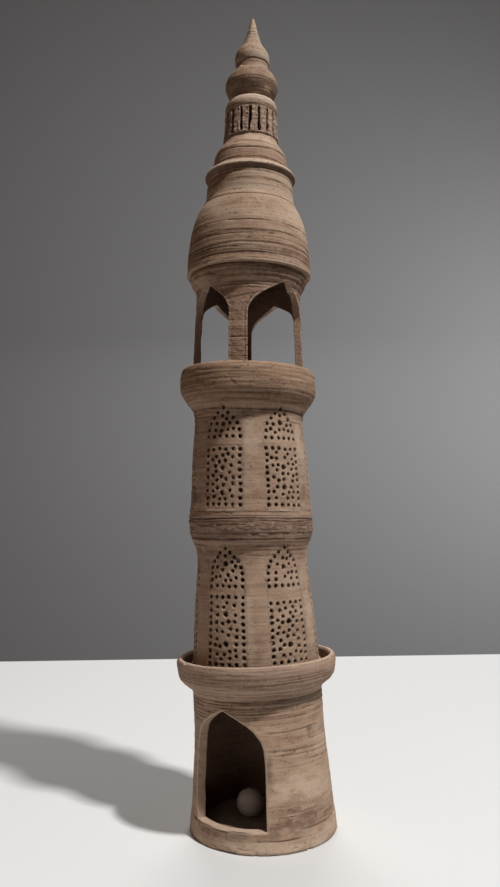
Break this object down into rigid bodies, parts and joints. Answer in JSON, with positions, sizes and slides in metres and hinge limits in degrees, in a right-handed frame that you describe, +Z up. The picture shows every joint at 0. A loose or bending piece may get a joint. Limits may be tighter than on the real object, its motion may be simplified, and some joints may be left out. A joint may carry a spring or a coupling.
{
  "type": "clay minaret lantern",
  "caption": "Hand-thrown unglazed clay lantern shaped as a slender minaret: arched doorway, pierced walls, two galleries, open arched lantern room, dome and drop finial.",
  "frame": {"origin": "centre of the flat underside of the base, on the surface it stands on", "axes": "+Z up along the tower, -Y the front that the picture shows, +X to the right"},
  "size_m": [0.1139, 0.114, 0.6],
  "materials": {
    "base_clay": "unglazed fired clay with throwing lines and brown stains",
    "plain_clay": "unglazed fired clay",
    "gallery_clay": "unglazed fired clay, ridged by the throwing",
    "storey_clay": "unglazed fired clay, pierced and scored",
    "lantern_clay": "unglazed fired clay, knife-cut edges",
    "dome_clay": "unglazed fired clay with dark throwing lines",
    "spire_clay": "unglazed fired clay",
    "washed_clay": "fired clay with a rubbed brown wash",
    "pale_stone": "matt pale stone"
  },
  "bodies": {
    "root": {"base_floor": "plain_clay", "base_foot": "base_clay", "base_wall_front_right": "base_clay", "base_wall_right": "base_clay", "base_wall_back": "base_clay", "base_wall_back_left": "base_clay", "base_wall_left": "base_clay", "door_arch": "base_clay", "lower_gallery_deck": "gallery_clay", "lower_gallery_parapet": "gallery_clay", "lower_wall_front_left": "storey_clay", "lower_wall_front_right": "storey_clay", "lower_wall_right": "storey_clay", "lower_wall_back_right": "storey_clay", "lower_wall_back_left": "storey_clay", "lower_wall_left": "storey_clay", "middle_band": "washed_clay", "upper_wall_front_left": "storey_clay", "upper_wall_front_right": "storey_clay", "upper_wall_right": "storey_clay", "upper_wall_back_right": "storey_clay", "upper_wall_back_left": "storey_clay", "upper_wall_left": "storey_clay", "upper_gallery_deck": "gallery_clay", "upper_gallery_parapet": "gallery_clay", "lantern_sill": "lantern_clay", "lantern_post_front": "lantern_clay", "lantern_post_right": "lantern_clay", "lantern_post_back": "lantern_clay", "lantern_post_left": "lantern_clay", "dome_skirt": "dome_clay", "dome_shell": "dome_clay", "dome_drum": "dome_clay", "collar_disc": "washed_clay", "neck_bell": "dome_clay", "fluted_band": "washed_clay", "bead_ring": "spire_clay", "bulb": "spire_clay", "finial": "spire_clay", "ball": "pale_stone"}
  },
  "joints": []
}
